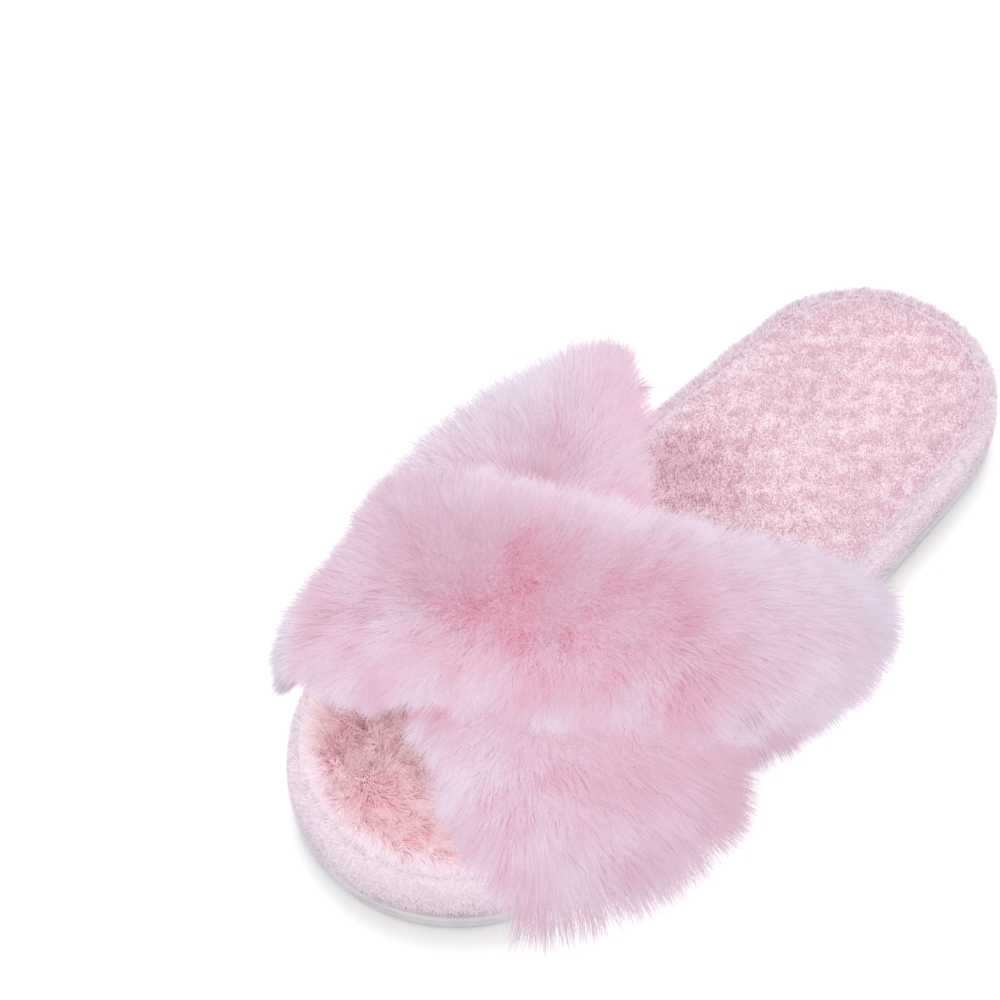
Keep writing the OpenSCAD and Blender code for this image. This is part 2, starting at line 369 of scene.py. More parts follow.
def noise_node(nodes, links, scale, detail=3.0, roughness=0.6):
    place = nodes.new("ShaderNodeTexCoord")
    node = nodes.new("ShaderNodeTexNoise")
    node.inputs["Scale"].default_value = scale
    node.inputs["Detail"].default_value = detail
    node.inputs["Roughness"].default_value = roughness
    links.new(place.outputs["Object"], node.inputs["Vector"])
    return node.outputs["Fac"]


def add_bump(nodes, links, shader, height, strength, distance):
    bump = nodes.new("ShaderNodeBump")
    bump.inputs["Strength"].default_value = strength
    bump.inputs["Distance"].default_value = distance
    links.new(height, bump.inputs["Height"])
    links.new(bump.outputs["Normal"], shader.inputs["Normal"])


def fur_material(name, stops, patchy=0.24, rough=0.7):
    """Hair colour from root to tip, with darker roots that are partly hair colour and partly painted shade
    of the pile's depth, moved a little from hair to hair and patch to patch.
    """
    material, nodes, links, shader = new_material(name)
    along = attribute_node(nodes, "along").outputs["Fac"]
    shade = attribute_node(nodes, "shade").outputs["Fac"]
    patch = noise_node(nodes, links, 38, 2.0)
    moved = maths(nodes, links, "ADD", along, maths(nodes, links, "MULTIPLY", shade, 0.34))
    moved = maths(nodes, links, "ADD", moved, maths(nodes, links, "MULTIPLY_ADD", patch, patchy))
    moved.node.inputs[1].links[0].from_node.inputs[2].default_value = -patchy / 2
    ramp = ramp_node(nodes, stops)
    links.new(moved, ramp.inputs["Fac"])
    links.new(ramp.outputs["Color"], shader.inputs["Base Color"])
    shader.inputs["Roughness"].default_value = rough
    shader.inputs["Specular IOR Level"].default_value = 0.2
    return material


def cloth_material(name, low, high, scale, bump, rough=0.9):
    material, nodes, links, shader = new_material(name)
    fac = noise_node(nodes, links, scale, 4.0, 0.65)
    ramp = ramp_node(nodes, [(0.25, low), (0.75, high)])
    links.new(fac, ramp.inputs["Fac"])
    links.new(ramp.outputs["Color"], shader.inputs["Base Color"])
    shader.inputs["Roughness"].default_value = rough
    shader.inputs["Sheen Weight"].default_value = 0.3
    fine = noise_node(nodes, links, scale * 6, 2.0)
    add_bump(nodes, links, shader, fine, 0.5, bump)
    return material


def knit_material(name, low, high):
    """Fine knitted lining: small rows of loops, as bump and as slight colour change."""
    material, nodes, links, shader = new_material(name)
    place = nodes.new("ShaderNodeTexCoord")
    wave = nodes.new("ShaderNodeTexWave")
    wave.inputs["Scale"].default_value = 260
    wave.inputs["Distortion"].default_value = 2.5
    wave.inputs["Detail"].default_value = 1.0
    wave.inputs["Detail Scale"].default_value = 3.0
    links.new(place.outputs["Object"], wave.inputs["Vector"])
    cloudy = noise_node(nodes, links, 60)
    fac = maths(nodes, links, "ADD", maths(nodes, links, "MULTIPLY", wave.outputs["Fac"], 0.4),
                maths(nodes, links, "MULTIPLY", cloudy, 0.6))
    ramp = ramp_node(nodes, [(0.2, low), (0.8, high)])
    links.new(fac, ramp.inputs["Fac"])
    links.new(ramp.outputs["Color"], shader.inputs["Base Color"])
    shader.inputs["Roughness"].default_value = 0.85
    shader.inputs["Sheen Weight"].default_value = 0.25
    add_bump(nodes, links, shader, wave.outputs["Fac"], 0.6, 0.0002)
    return material


def rubber_material():
    """Off-white moulded rubber with a fine grain, slightly greyer where it is scuffed."""
    material, nodes, links, shader = new_material("outsole_rubber")
    fac = noise_node(nodes, links, 55, 6.0, 0.7)
    ramp = ramp_node(nodes, [(0.2, (178, 175, 177)), (0.5, (197, 194, 196)), (0.85, (210, 208, 209))])
    links.new(fac, ramp.inputs["Fac"])
    links.new(ramp.outputs["Color"], shader.inputs["Base Color"])
    grain = noise_node(nodes, links, 900, 2.0)
    rough = maths(nodes, links, "MULTIPLY_ADD", grain, 0.2)
    rough.node.inputs[2].default_value = 0.42
    links.new(rough, shader.inputs["Roughness"])
    add_bump(nodes, links, shader, grain, 0.25, 0.0002)
    return material


def foam_material(name, low, high, cell_scale):
    material, nodes, links, shader = new_material(name)
    place = nodes.new("ShaderNodeTexCoord")
    cells = nodes.new("ShaderNodeTexVoronoi")
    cells.inputs["Scale"].default_value = cell_scale
    links.new(place.outputs["Object"], cells.inputs["Vector"])
    ramp = ramp_node(nodes, [(0.0, low), (0.6, high)])
    links.new(cells.outputs["Distance"], ramp.inputs["Fac"])
    links.new(ramp.outputs["Color"], shader.inputs["Base Color"])
    shader.inputs["Roughness"].default_value = 0.9
    add_bump(nodes, links, shader, cells.outputs["Distance"], 0.6, 0.0003)
    return material


def thread_material(name, low, high):
    material, nodes, links, shader = new_material(name)
    place = nodes.new("ShaderNodeTexCoord")
    twist = nodes.new("ShaderNodeTexWave")
    twist.inputs["Scale"].default_value = 600
    twist.bands_direction = "DIAGONAL"
    links.new(place.outputs["Object"], twist.inputs["Vector"])
    ramp = ramp_node(nodes, [(0.1, low), (0.8, high)])
    links.new(twist.outputs["Fac"], ramp.inputs["Fac"])
    links.new(ramp.outputs["Color"], shader.inputs["Base Color"])
    shader.inputs["Roughness"].default_value = 0.6
    add_bump(nodes, links, shader, twist.outputs["Fac"], 0.7, 0.0002)
    return material


# The root ends of these ramps are darker: partly deeper hair colour, partly painted shade of the pile's
# depth.
STRAP_HAIR = fur_material("strap_hair", [
    (0.00, (192, 92, 118)), (0.28, (202, 136, 156)), (0.55, (203, 162, 180)),
    (0.80, (202, 177, 193)), (1.00, (209, 198, 212))], 0.16)
FOOTBED_HAIR = fur_material("footbed_hair", [
    (0.00, (190, 156, 168)), (0.15, (214, 188, 197)), (0.40, (219, 199, 207)),
    (0.70, (221, 207, 213)), (1.00, (223, 212, 219))], 0.06)
TOE_HAIR = fur_material("toe_hair", [
    (0.00, (152, 78, 86)), (0.30, (198, 140, 146)), (0.65, (211, 176, 181)), (1.00, (218, 198, 204))], 0.12)
RIM_HAIR = fur_material("rim_hair", [
    (0.00, (204, 186, 196)), (0.45, (214, 200, 210)), (1.00, (222, 211, 220))], 0.06)
STRAP_BACKING = cloth_material("strap_backing", (204, 104, 128), (214, 126, 148), 90, 0.0004)
FOOTBED_BACKING = cloth_material("footbed_backing", (208, 164, 175), (216, 180, 190), 90, 0.0004)
RIM_BACKING = cloth_material("rim_backing", (208, 192, 203), (219, 206, 216), 140, 0.0004)
LINING = knit_material("strap_lining", (236, 186, 200), (248, 214, 224))
RUBBER = rubber_material()
BOARD_FOAM = foam_material("foam_board", (200, 197, 194), (226, 224, 220), 700)
SOFT_FOAM = foam_material("soft_foam", (222, 208, 168), (246, 238, 208), 500)
FIBRE_BOARD = cloth_material("fibre_board", (140, 112, 82), (176, 146, 112), 300, 0.0002)
RIM_THREAD = thread_material("rim_thread", (176, 158, 168), (206, 190, 200))
SEAM_THREAD = thread_material("seam_thread", (204, 176, 188), (220, 198, 208))


# ---------- sole ----------


TOE_RADIUS = 47
HEEL_RADIUS = 39
SPINE_SWAY = 5.2


def spine_point():
    """The point on the sole's middle line that each edge point is drawn towards."""
    toe_y = SOLE_LOW[1] + TOE_RADIUS
    heel_y = SOLE_HIGH[1] - HEEL_RADIUS
    y = np.clip(EDGE[:, 1], toe_y, heel_y)
    along = (y - toe_y) / (heel_y - toe_y)
    return np.stack([mix(-SPINE_SWAY, SPINE_SWAY, along), y], axis=1)


SPINE = spine_point()


def disc_grid(inset, rings):
    """Points from the inset edge in to the spine: rings by AROUND by 2."""
    edge = inset_edge(inset)
    steps = np.linspace(0, 1, rings)[:, None, None]
    return mix(edge[None], SPINE[None], steps)


def edge_distance(points):
    """Distance in from the outsole's edge, good enough for shaping the footbed."""
    away = np.full(points.shape[:-1], 1e9)
    for k in range(0, AROUND, 6):
        away = np.minimum(away, np.hypot(points[..., 0] - EDGE[k, 0], points[..., 1] - EDGE[k, 1]))
    return away


OUTSOLE_INSET = 2.6
TREAD_SPACING = 8.0
TREAD_DEPTH = 1.5
TREAD_BORDER = 7.5


def tread_depth(points):
    """Depth of the wavy grooves across the outsole's underside, none near its border."""
    half = TREAD_SPACING / 2
    wavy = points[..., 1] + 2.6 * np.sin(points[..., 0] / 5.2) + half
    from_groove = np.abs(np.mod(wavy, TREAD_SPACING) - half)
    inner = smooth((edge_distance(points) - TREAD_BORDER) / 1.0)
    return TREAD_DEPTH * (1 - smooth((from_groove - 0.7) / 0.7)) * inner


def make_outsole():
    """Moulded side wall with a rolled lip, and a sole underneath with wavy tread grooves."""
    profile = [
        (OUTSOLE_INSET, 0.0), (1.7, 0.15), (1.1, 0.6), (0.8, 1.3), (0.75, 2.2), (0.95, 3.0), (0.95, 3.4),
        (0.7, 3.8), (0.55, 4.6), (0.35, 5.2), (0.0, 5.55), (-0.15, 6.0), (-0.12, 6.5), (0.15, 6.95),
        (0.7, 7.2), (1.6, 7.2), (5.0, 7.1)]
    wall = [np.column_stack([inset_edge(inset), np.full(AROUND, z)]) for inset, z in profile]
    flat = disc_grid(OUTSOLE_INSET, 70)[1:]
    tread = np.concatenate([flat, tread_depth(flat)[..., None]], axis=-1)
    rows = np.concatenate([tread[::-1], np.stack(wall)], axis=0)
    faces = grid_faces(len(rows), AROUND, wrap=True)
    piece = mesh_from("outsole_moulded", rows.reshape(-1, 3), faces, RUBBER)
    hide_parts("outsole")


def rim_profile():
    """Cross-section of the fleece rim: inset from the edge and height, from the sole up and over."""
    return [
        (3.2, OUTSOLE_TOP + 0.1), (1.3, OUTSOLE_TOP + 0.2), (0.9, OUTSOLE_TOP + 1.0),
        (0.5, OUTSOLE_TOP + 2.2), (0.25, OUTSOLE_TOP + 4.5), (0.15, OUTSOLE_TOP + 7.5),
        (0.4, RIM_TOP - 3.6), (1.0, RIM_TOP - 1.7), (2.0, RIM_TOP - 0.4), (3.4, RIM_TOP + 0.2),
        (4.6, RIM_TOP - 0.1), (5.2, RIM_TOP - 1.2)]


RIM_PULLS = 70


def make_rim():
    """Padded fleece band with soft pulls where it is stitched down. Returns its points for the nap."""
    rows = []
    arc = np.arange(AROUND) / AROUND
    pull = np.sin(arc * 2 * math.pi * RIM_PULLS)
    for inset, z in rim_profile():
        sway = wave_noise(np.column_stack([EDGE, np.full(AROUND, z)]), 26, 31) * 0.35
        tuck = 0.12 * pull * smooth(1 - (z - OUTSOLE_TOP) / 5)
        rows.append(np.column_stack([inset_edge(inset - sway + tuck), np.full(AROUND, z)]))
    rows = np.stack(rows)
    faces = grid_faces(len(rows), AROUND, wrap=True)
    piece = mesh_from("rim_fleece", rows.reshape(-1, 3), faces, RIM_BACKING)
    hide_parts("rim_wrap")
    return rows


def footbed_height(points):
    """Top of the footbed cloth: crowned, pillowed at its border and slightly uneven."""
    away = edge_distance(points)
    border = smooth((away - 3.6) / 9.0)
    flat = np.concatenate([points, np.zeros(points.shape[:-1] + (1,))], axis=-1)
    uneven = 0.5 * wave_noise(flat, 30, 41) + 0.3 * wave_noise(flat, 13, 42)
    heel_cup = -0.8 * np.exp(-((points[..., 0] - 5) ** 2 + (points[..., 1] - 88) ** 2) / (2 * 24.0 ** 2))
    return RIM_TOP - 1.4 + border * (FOOTBED_TOP - RIM_TOP - 0.6) + uneven * border + heel_cup


def make_footbed():
    """Cloth of the footbed under its pile, with a skirt that goes down inside the rim."""
    grid = disc_grid(4.2, 60)
    top = footbed_height(grid)
    rows = np.concatenate([grid, top[..., None]], axis=-1)
    skirt = np.column_stack([inset_edge(4.4), np.full(AROUND, RIM_TOP - 4)])
    rows = np.concatenate([skirt[None], rows], axis=0)
    piece = mesh_from("footbed_cloth", rows.reshape(-1, 3), grid_faces(len(rows), AROUND, wrap=True),
                      FOOTBED_BACKING)
    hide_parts("footbed_plush")


def inside_sole(points, inset):
    """True for points inside the sole's outline moved in by inset."""
    a = inset_edge(inset)
    b = np.roll(a, -1, axis=0)
    inside = np.zeros(len(points), dtype=bool)
    for k in range(AROUND):
        crosses = (a[k, 1] <= points[:, 1]) != (b[k, 1] <= points[:, 1])
        if crosses.any():
            x = a[k, 0] + (b[k, 0] - a[k, 0]) * (points[:, 1] - a[k, 1]) / (b[k, 1] - a[k, 1] + 1e-12)
            inside ^= crosses & (points[:, 0] < x)
    return inside


PLUSH_CANDIDATES = 330000
HIDDEN_DENSITY = 0.16
TOE_DENSITY = 0.62
FOOTBED_HALF = 47
PILE_PIECES = 5
TOE_PIECES = 1
BORDER_PIECES = 2
HEEL_LEAN = np.array([0.10, -0.42, 0.0])
TOE_SWIRL = np.array([-27.0, -100.0])
TOE_MIDDLE = np.array([-5.0, -84.0])

# Centre and radius of a painted shadow on the footbed's pile, where the arch of the straps shades it.
ARCH_SHADOW_CENTRE = (-20.0, 30.0)
ARCH_SHADOW_RADIUS = 20


def from_straps(spots):
    """How far each spot is outside the top strap and the under strap, seen from above."""
    q = spots[:, 0] / FOOTBED_HALF
    return outside(TOP_STRAP, q, spots[:, 1]), outside(UNDER_STRAP, q, spots[:, 1])


def toe_share(spots):
    """0 on the heel's part of the footbed, 1 on the toe's."""
    return smooth((-52 - spots[:, 1]) / 16)


def plush_spots(rng):
    """Where the footbed's hairs stand: evenly over it, but sparse where the straps hide it."""
    spots = np.column_stack([rng.uniform(SOLE_LOW[0], SOLE_HIGH[0], PLUSH_CANDIDATES),
                             rng.uniform(SOLE_LOW[1], SOLE_HIGH[1], PLUSH_CANDIDATES)])
    spots = spots[inside_sole(spots, 3.2)]
    from_top, from_under = from_straps(spots)
    covered = (from_top < -8) | (from_under < -8)
    density = np.where(covered, HIDDEN_DENSITY, mix(1.0, TOE_DENSITY, toe_share(spots)))
    return spots[rng.uniform(size=len(spots)) < density]


def plush_heading(rng, spots, flat, away, toe, toe_end):
    """Which way the hairs lean: forwards at the heel, round a swirl and outwards at the toe."""
    drift = noise_vector(flat, 46, 51) * 0.07 + noise_vector(flat, 12, 52) * mix(0.02, 0.35, toe)[:, None]
    drift += rng.normal(size=drift.shape) * 0.2
    drift[:, 2] = 0
    away_from_centre = np.column_stack([spots - TOE_SWIRL, np.zeros(len(spots))]) / 30
    turned = np.column_stack([-away_from_centre[:, 1], away_from_centre[:, 0], away_from_centre[:, 2]])
    swirl = (away_from_centre * 0.8 + turned * 0.5) * toe[:, None]
    outward = np.column_stack([unit(spots - TOE_MIDDLE), np.zeros(len(spots))])
    outward *= (0.9 * toe_end * smooth((16 - away) / 10))[:, None]
    heel_lean = HEEL_LEAN * (1 - toe_end)[:, None]
    return unit(drift + swirl + outward + heel_lean + np.array([0, 0, 0.8]))


def plush_shade(rng, spots, flat, away, toe, toe_end):
    """Colour shift of the hairs: flecked, paler at the border, with painted shade near and between the
    straps, in pits and under their arch.
    """
    shade = wave_noise(flat, 4, 53) * mix(0.12, 0.30, toe) + rng.normal(size=len(spots)) * 0.25
    shade += 0.2 * smooth((12 - away) / 8) - 0.15 * toe + (0.2 - 0.009 * spots[:, 0]) * (1 - toe_end)
    shade += 0.4 * toe_end * smooth((-18 - spots[:, 0]) / 18)
    # Painted shade: darker near the straps, darkest in the crevice between them at the toe, and in pits of
    # the toe pile.
    from_top, from_under = from_straps(spots)
    shade -= 0.9 * (1 - toe) * smooth((16 - np.minimum(from_top, from_under)) / 20)
    shade -= toe * (1.0 * smooth((20 - from_under) / 20) + 0.7 * smooth((6 - from_top) / 8))
    shade -= 1.5 * toe * smooth((11 - np.maximum(from_top, from_under)) / 9)
    shade -= 0.8 * toe_end * smooth((wave_noise(flat, 7, 58) - 0.9) / 0.4)
    # Painted shadow of the straps' arch on the pile.
    from_arch = np.hypot(spots[:, 0] - ARCH_SHADOW_CENTRE[0], spots[:, 1] - ARCH_SHADOW_CENTRE[1])
    shade -= 2.5 * np.exp(-(from_arch / ARCH_SHADOW_RADIUS) ** 2)
    return shade


def plush_groups(rng, away, toe, toe_end):
    """The hairs of the heel, of the toe and of the pale border: name, hairs, pieces and material."""
    border_share = smooth((mix(15, 13, toe_end) - away) / mix(11, 8, toe_end)) * mix(1, 0.7, toe_end)
    is_border = rng.uniform(size=len(away)) < border_share
    is_toe = (toe > rng.uniform(0.2, 0.8, len(away))) & ~is_border
    return [("footbed_pile", np.flatnonzero(~is_toe & ~is_border), PILE_PIECES, FOOTBED_HAIR),
            ("toe_pile", np.flatnonzero(is_toe), TOE_PIECES, TOE_HAIR),
            ("border_pile", np.flatnonzero(is_border), BORDER_PIECES, RIM_HAIR)]


def make_footbed_pile():
    """Plush pile: short fine flecks at the heel, longer and swirling towards the toe."""
    rng = np.random.default_rng(SEED + 1)
    spots = plush_spots(rng)
    away = edge_distance(spots)
    toe_end = toe_share(spots)
    toe = toe_end * smooth((away - 5) / 9)
    roots = np.column_stack([spots, footbed_height(spots) - 0.1])
    flat = np.column_stack([spots, np.zeros(len(spots))])
    heading = plush_heading(rng, spots, flat, away, toe, toe_end)
    lengths = mix(4.2, 9.0, toe) * (0.75 + 0.5 * rng.uniform(size=len(spots)))
    lengths *= mix(mix(0.55, 0.85, toe_end), 1.0, smooth((away - 3) / 8))
    widths = mix(0.26, 0.30, toe)
    shade = plush_shade(rng, spots, flat, away, toe, toe_end)
    clump = noise_vector(roots, 5.5, 54) * mix(0.05, 0.25, toe)[:, None]
    up = unit(np.array([0, 0, 1.0]) + clump * 0.3)

    def bend_part(part):
        def bend(points, t):
            return clump[part] + np.array([0, 0, -0.08])
        return bend

    for name, members, pieces, material in plush_groups(rng, away, toe, toe_end):
        for k, part in enumerate(np.array_split(members, pieces)):
            piece = strand_piece(f"{name}_{k + 1}", roots[part], heading[part], up[part], lengths[part],
                                 widths[part], material, bend_part(part), shade[part], seed=60 + k)


NAP_HAIRS = 100000
NAP_PIECES = 2
NAP_WIDTH = 0.24


def make_rim_nap(rows):
    """Very short fleece nap all over the rim."""
    rng = np.random.default_rng(SEED + 2)
    count = NAP_HAIRS
    up_rim = rng.uniform(0.6, len(rows) - 1.01, count)
    round_rim = rng.uniform(0, AROUND, count)
    i = up_rim.astype(int)
    j = round_rim.astype(int) % AROUND
    share_up = (up_rim - i)[:, None]
    share_round = (round_rim - np.floor(round_rim))[:, None]
    low, low_next = rows[i, j], rows[i, (j + 1) % AROUND]
    high, high_next = rows[i + 1, j], rows[i + 1, (j + 1) % AROUND]
    roots = mix(mix(low, low_next, share_round), mix(high, high_next, share_round), share_up)
    normal = unit(np.cross(low_next - low, high - low))
    outward = np.column_stack([EDGE_NORMAL[j], np.zeros(count)])
    flip = np.where((normal * (outward + np.array([0, 0, 0.6]))).sum(axis=1) < 0, -1.0, 1.0)
    normal = normal * flip[:, None]
    heading = unit(normal + noise_vector(roots, 5, 71) * 0.2 + rng.normal(size=roots.shape) * 0.25)
    lengths = 0.8 + 0.6 * rng.uniform(size=count) + 1.6 * smooth((roots[:, 2] - RIM_TOP + 2.5) / 2.5)
    shade = rng.normal(size=count) * 0.15 + wave_noise(roots, 6.0, 73) * 0.15
    curl = noise_vector(roots, 2.2, 72) * 0.2
    for k, part in enumerate(np.array_split(np.arange(count), NAP_PIECES)):
        piece = strand_piece(f"rim_nap_{k + 1}", roots[part], heading[part], normal[part], lengths[part],
                             np.full(len(part), NAP_WIDTH), RIM_HAIR, lambda points, t: curl[part],
                             shade[part], segments=2, seed=74 + k)


STITCHES = 150
STITCH_RADIUS = 0.42
STITCH_SIDES = 8
STITCH_STEPS = 6


def stitch_ring(line, stitch, t):
    """Points round one stitch, t of the way along it: plump in the middle, sunk in at its ends."""
    place = (stitch + 0.12 + 0.72 * t) * AROUND / STITCHES
    j = int(place) % AROUND
    centre = mix(line[j], line[(j + 1) % AROUND], place - int(place))
    end = (2 * t - 1) ** 4
    radius = STITCH_RADIUS * math.sqrt(max(0.03, 1 - end))
    points = []
    for m in range(STITCH_SIDES):
        turn = 2 * math.pi * m / STITCH_SIDES
        out = radius * math.cos(turn) - 0.5 * end
        x = centre[0] + EDGE_NORMAL[j][0] * out
        y = centre[1] + EDGE_NORMAL[j][1] * out
        points.append((x, y, OUTSOLE_TOP + 0.75 + radius * math.sin(turn)))
    return points


def make_rim_stitches():
    """Row of small thread stitches in the groove above the outsole's lip."""
    verts = []
    faces = []
    line = inset_edge(0.45)
    for stitch in range(STITCHES):
        base = len(verts)
        for k in range(STITCH_STEPS + 1):
            verts += stitch_ring(line, stitch, k / STITCH_STEPS)
        for k in range(STITCH_STEPS):
            for m in range(STITCH_SIDES):
                a = base + k * STITCH_SIDES + m
                b = base + k * STITCH_SIDES + (m + 1) % STITCH_SIDES
                faces.append((a, b, b + STITCH_SIDES, a + STITCH_SIDES))
        faces.append(tuple(base + m for m in reversed(range(STITCH_SIDES))))
        faces.append(tuple(base + STITCH_STEPS * STITCH_SIDES + m for m in range(STITCH_SIDES)))
    piece = mesh_from("rim_thread", verts, faces, RIM_THREAD)
    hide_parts("rim_stitching")


# ---------- straps ----------

# Height of the fur backing's underside above the lining's foot side, and the way the whole pile leans.
FUR_BASE = 3.72
HAIR_LEAN = np.array([0.12, 0.04, 0.0])
HAIR_WIDTH = 0.22
UNDER_HAIRS = 90000
UNDER_PIECES = 3
TOP_HAIRS = 137000
TOP_PIECES = 5

# Deeper pink places on the top strap: centre, radius, depth. The first is painted shade where its pile
# parts.
PINK_PATCHES_AND_PARTING_SHADE = (((-2.0, -59.0), 12.0, 1.15), ((24.0, -42.0), 15.0, 0.65), ((-36.0, -58.0), 16.0, 0.2))


def end_growth(strap, q, v):
    """How much longer the pile grows towards a strap's ends, as a share of its length."""
    if strap == TOP_STRAP:
        growth = np.where(q < 0, -0.15, 0.12 + 0.40 * v)
    else:
        growth = np.where(q < 0, 0.50, 0.38)
    return growth * np.abs(q) ** 3


def strap_shell(strap, name, low, high, material):
    """A closed cloth shell between two heights above the lining, each a function of free part and v."""
    across, along = 96, 60
    w = np.linspace(-1, 1, across)[:, None] * np.ones(along)[None]
    v = np.linspace(-1, 1, along)[None] * np.ones(across)[:, None]
    free = smooth((1 - np.abs(w)) / 0.1)
    bottom = low(free, v)
    top = high(free, v)
    border = np.sqrt(np.clip(1 - np.abs(v) ** 8, 0, 1))
    lower = strap_surface(strap, w, v, bottom)[0]
    upper = strap_surface(strap, w, v, bottom + (top - bottom) * (0.15 + 0.85 * border))[0]

    def with_tabs(points):
        first = points[0].copy()
        last = points[-1].copy()
        first[:, 2] = POCKET_FLOOR
        last[:, 2] = POCKET_FLOOR
        return np.concatenate([first[None], points, last[None]], axis=0)

    lower = with_tabs(lower)
    upper = with_tabs(upper)
    rows = across + 2
    loop = np.concatenate([upper, lower[:, ::-1]], axis=1)
    cols = loop.shape[1]
    faces = grid_faces(rows, cols, wrap=True)
    caps = [tuple(range(cols))[::-1], tuple((rows - 1) * cols + k for k in range(cols))]
    return mesh_from(name, loop.reshape(-1, 3), [tuple(f) for f in faces] + caps, material)


def over_padding(free, v):
    """Underside of the fur backing: over the padding in the middle, down on the lining at the borders."""
    return mix(1.02, FUR_BASE, np.clip((1 - np.abs(v)) / 0.15, 0, 1) * free)


def make_strap_cloth(strap, label):
    """A strap's knitted lining and the padded cloth that its fur stands on."""
    lining = strap_shell(strap, f"{label}_lining_cloth", lambda free, v: 0.05 + 0 * v,
                         lambda free, v: 0.95 + 0 * v, LINING)
    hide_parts(f"{label}_lining")
    backing = strap_shell(strap, f"{label}_fur_backing", over_padding,
                          lambda free, v: over_padding(free, v) + 1.3, STRAP_BACKING)
    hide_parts(f"{label}_fur")


def strap_roots(strap, count, rng):
    """Evenly spread hair roots on a strap, with normals and the strap's own directions."""
    w = rng.uniform(-1, 1, count * 2)
    v = rng.uniform(-1, 1, count * 2)
    points, normal, across, along = strap_surface(strap, w, v, np.full(w.shape, FUR_BASE + 0.6))
    area = np.linalg.norm(np.cross(across, along), axis=1)
    keep = rng.uniform(size=len(w)) < area / np.quantile(area, 0.98)
    chosen = np.flatnonzero(keep)[:count]
    return w[chosen], v[chosen], points[chosen], normal[chosen], unit(across[chosen]), unit(along[chosen])


def strap_tone_and_shade(strap, roots, q, v, seed):
    """Colour shift of the pile: lighter at the borders, deep pink painted shade where it parts, faint
    streaks, and painted shade in the crease along the top strap.
    """
    flat = roots[:, :2]
    tone = 0.3 * np.abs(v) ** 3 + 0.3 * np.abs(q) ** 4 - 0.1
    tone += 0.15 * wave_noise(roots, 20, seed + 13) + 0.22 * wave_noise(roots, 5, seed + 16)
    stripes = roots * np.array([1.0, 0.25, 0.0])
    tone += 0.55 * wave_noise(stripes, 5, seed + 15) * smooth((0.2 - v) / 0.6)
    if strap == TOP_STRAP:
        # The first of these is painted shade where the pile parts and its darker roots show.
        for centre, radius, depth in PINK_PATCHES_AND_PARTING_SHADE:
            away = np.hypot(flat[:, 0] - centre[0], flat[:, 1] - centre[1])
            tone -= depth * np.exp(-(away / radius) ** 2)
            tone += depth * wave_noise(stripes, 3, seed + 17) * np.exp(-(away / radius) ** 2)
        tone -= 0.34 * smooth(-v / 0.8) * smooth((q + 0.9) / 0.5) - 0.2 * smooth((v - 0.3) / 0.7)
    else:
        tone -= 0.38 * smooth(q / 0.5) + 0.5 * smooth((v - 0.2) / 0.8) - 0.35 * smooth(-q)
        # Painted shade in the crease where the under strap's pile meets the top strap's border.
        tone -= mix(0.9, 0.55, smooth(q)) * smooth((7 - outside(TOP_STRAP, q, roots[:, 1])) / 7)
    return tone


def open_pile(strap, q, y):
    """Which hairs the top strap leaves uncovered, and how far its border pushes them forwards or back."""
    if strap == TOP_STRAP:
        return np.ones(len(q), dtype=bool), np.zeros(len(q))
    open_side = outside(TOP_STRAP, q, y)
    in_front = border_y(TOP_STRAP, q, 0.0) - y > 0
    shove = np.where(in_front, -1.0, 1.0) * smooth(1 - open_side / 14)
    return open_side > -1.5, shove


def fur_heading(rng, seed, roots, normal, across, along, q, v, shove):
    """Hairs stand up in the middle of a strap and splay over its borders and ends, in small tufts."""
    splay = along * (np.sign(v) * np.abs(v) ** 1.6 * 1.05)[:, None]
    splay += across * (np.sign(q) * np.abs(q) ** 2.0 * 0.45)[:, None]
    splay += along * (shove * 1.3)[:, None] + HAIR_LEAN
    tuft = noise_vector(roots, 16, seed + 11) * 0.16 + noise_vector(roots, 5, seed + 12) * 0.14
    return unit(normal + splay + tuft + rng.normal(size=roots.shape) * 0.12)


def make_strap_fur(strap, label, count, pieces, seed):
    """Long pile of one strap, in a few pieces of equal size."""
    rng = np.random.default_rng(seed)
    w, v, roots, normal, across, along = strap_roots(strap, count, rng)
    q = np.sin(w * math.pi / 2)
    keep, shove = open_pile(strap, q, roots[:, 1])
    v, q, shove = v[keep], q[keep], shove[keep]
    roots, normal, across, along = roots[keep], normal[keep], across[keep], along[keep]
    total = len(roots)
    heading = fur_heading(rng, seed, roots, normal, across, along, q, v, shove)
    lengths = PILE * (0.84 + 0.2 * rng.uniform(size=total)) * (1 - 0.18 * np.abs(v) ** 4)
    lengths *= 1 + end_growth(strap, q, v)
    widths = np.full(total, HAIR_WIDTH)
    shade = rng.normal(size=total) * 0.1 + strap_tone_and_shade(strap, roots, q, v, seed)
    curl = noise_vector(roots, 3.0, seed + 14) * 0.10
    soft = unit(normal + (heading - normal) * 0.5)

    def bend_part(part):
        def bend(points, t):
            droop = np.zeros((len(part), 3))
            droop[:, 2] = -0.10 - 0.12 * t
            return droop + curl[part] * (0.4 + t)
        return bend

    for k, part in enumerate(np.array_split(np.arange(total), pieces)):
        piece = strand_piece(f"{label}_pile_{k + 1}", roots[part], heading[part], soft[part],
                             lengths[part], widths[part], STRAP_HAIR, bend_part(part), shade[part],
                             segments=4, seed=seed + 20 + k)


# ---------- hidden pieces keep their CAD solids ----------


def finish_cad_node(node, material):
    """Give a CAD solid that stays visible a material of its own."""
    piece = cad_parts[node]
    piece.data.materials.clear()
    piece.data.materials.append(material)


# ---------- floor, light and camera ----------


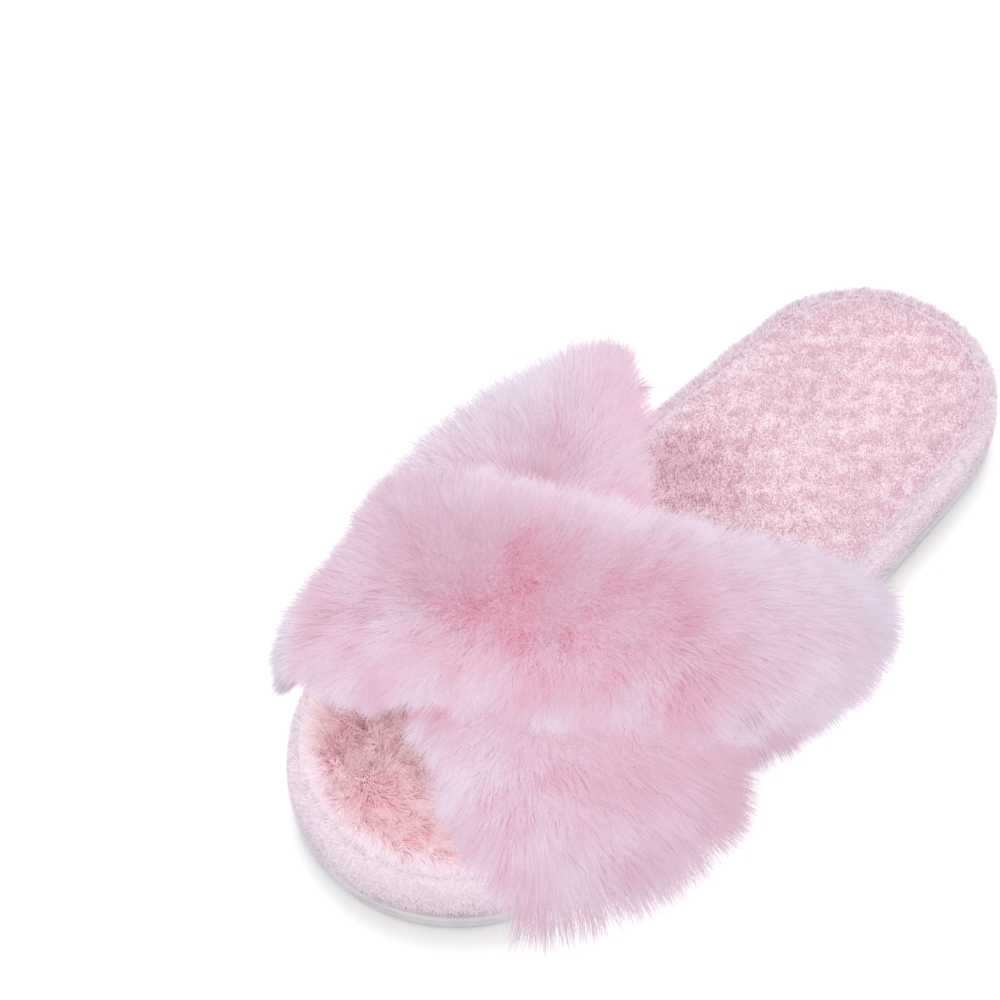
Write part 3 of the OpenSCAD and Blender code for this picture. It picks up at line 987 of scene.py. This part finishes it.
def make_stage():
    """A wide white floor."""
    size = 6000.0
    verts = [(-size, -size, 0), (size, -size, 0), (size, size, 0), (-size, size, 0)]
    material, _, _, shader = new_material("floor_white")
    shader.inputs["Base Color"].default_value = (0.92, 0.92, 0.92, 1)
    shader.inputs["Roughness"].default_value = 0.9
    mesh = bpy.data.meshes.new("floor")
    mesh.from_pydata([tuple(c * MM for c in v) for v in verts], [], [(0, 1, 2, 3)])
    mesh.materials.append(material)
    floor = bpy.data.objects.new("floor", mesh)
    bpy.context.scene.collection.objects.link(floor)


LIGHT_AIM = (0, 0, 0.03)


def area_light(name, place, size, power):
    """A round soft light, placed in metres, that points at the slipper."""
    data = bpy.data.lights.new(name, "AREA")
    data.shape = "DISK"
    data.size = size
    data.energy = power
    light = bpy.data.objects.new(name, data)
    bpy.context.scene.collection.objects.link(light)
    light.location = place
    light.rotation_euler = (Vector(LIGHT_AIM) - Vector(place)).to_track_quat("-Z", "Y").to_euler()


def make_light():
    world = bpy.data.worlds.new("studio")
    world.use_nodes = True
    world.node_tree.nodes["Background"].inputs["Color"].default_value = (1, 0.99, 1, 1)
    world.node_tree.nodes["Background"].inputs["Strength"].default_value = 1.0
    bpy.context.scene.world = world
    area_light("key", (-0.5, 0.5, 1.7), 1.0, 14)
    area_light("fill", (1.0, -1.3, 1.3), 1.3, 5)


# Where the camera looks from, in degrees round and above the toe's direction, and its lens in millimetres.
CAMERA_AZIMUTH = 40.0
CAMERA_ELEVATION = 52.5
CAMERA_DISTANCE = 989.0
CAMERA_AIM = (-46.8, -16.3, 30.0)
CAMERA_LENS = 123.7


def make_camera():
    data = bpy.data.cameras.new("camera")
    data.lens = CAMERA_LENS
    data.sensor_width = 36
    camera = bpy.data.objects.new("camera", data)
    bpy.context.scene.collection.objects.link(camera)
    azimuth = math.radians(CAMERA_AZIMUTH)
    elevation = math.radians(CAMERA_ELEVATION)
    back = Vector((math.sin(azimuth) * math.cos(elevation), -math.cos(azimuth) * math.cos(elevation),
                   math.sin(elevation)))
    camera.location = (Vector(CAMERA_AIM) + back * CAMERA_DISTANCE) * MM
    camera.rotation_euler = (-back).to_track_quat("-Z", "Y").to_euler()
    bpy.context.scene.camera = camera


# ---------- build ----------

make_camera()
make_light()
make_stage()
bpy.context.scene.view_settings.view_transform = "Standard"

make_outsole()
rim_rows = make_rim()
make_rim_nap(rim_rows)
make_rim_stitches()
make_footbed()
make_footbed_pile()
make_strap_cloth(UNDER_STRAP, "under_strap")
make_strap_cloth(TOP_STRAP, "top_strap")
make_strap_fur(UNDER_STRAP, "under_strap", UNDER_HAIRS, UNDER_PIECES, 100)
make_strap_fur(TOP_STRAP, "top_strap", TOP_HAIRS, TOP_PIECES, 200)
for node, material in (
        ("midsole", BOARD_FOAM), ("insole_board", FIBRE_BOARD), ("comfort_foam", SOFT_FOAM),
        ("under_strap_padding", SOFT_FOAM), ("top_strap_padding", SOFT_FOAM),
        ("footbed_seam", SEAM_THREAD), ("under_strap_seam", SEAM_THREAD), ("top_strap_seam", SEAM_THREAD)):
    finish_cad_node(node, material)
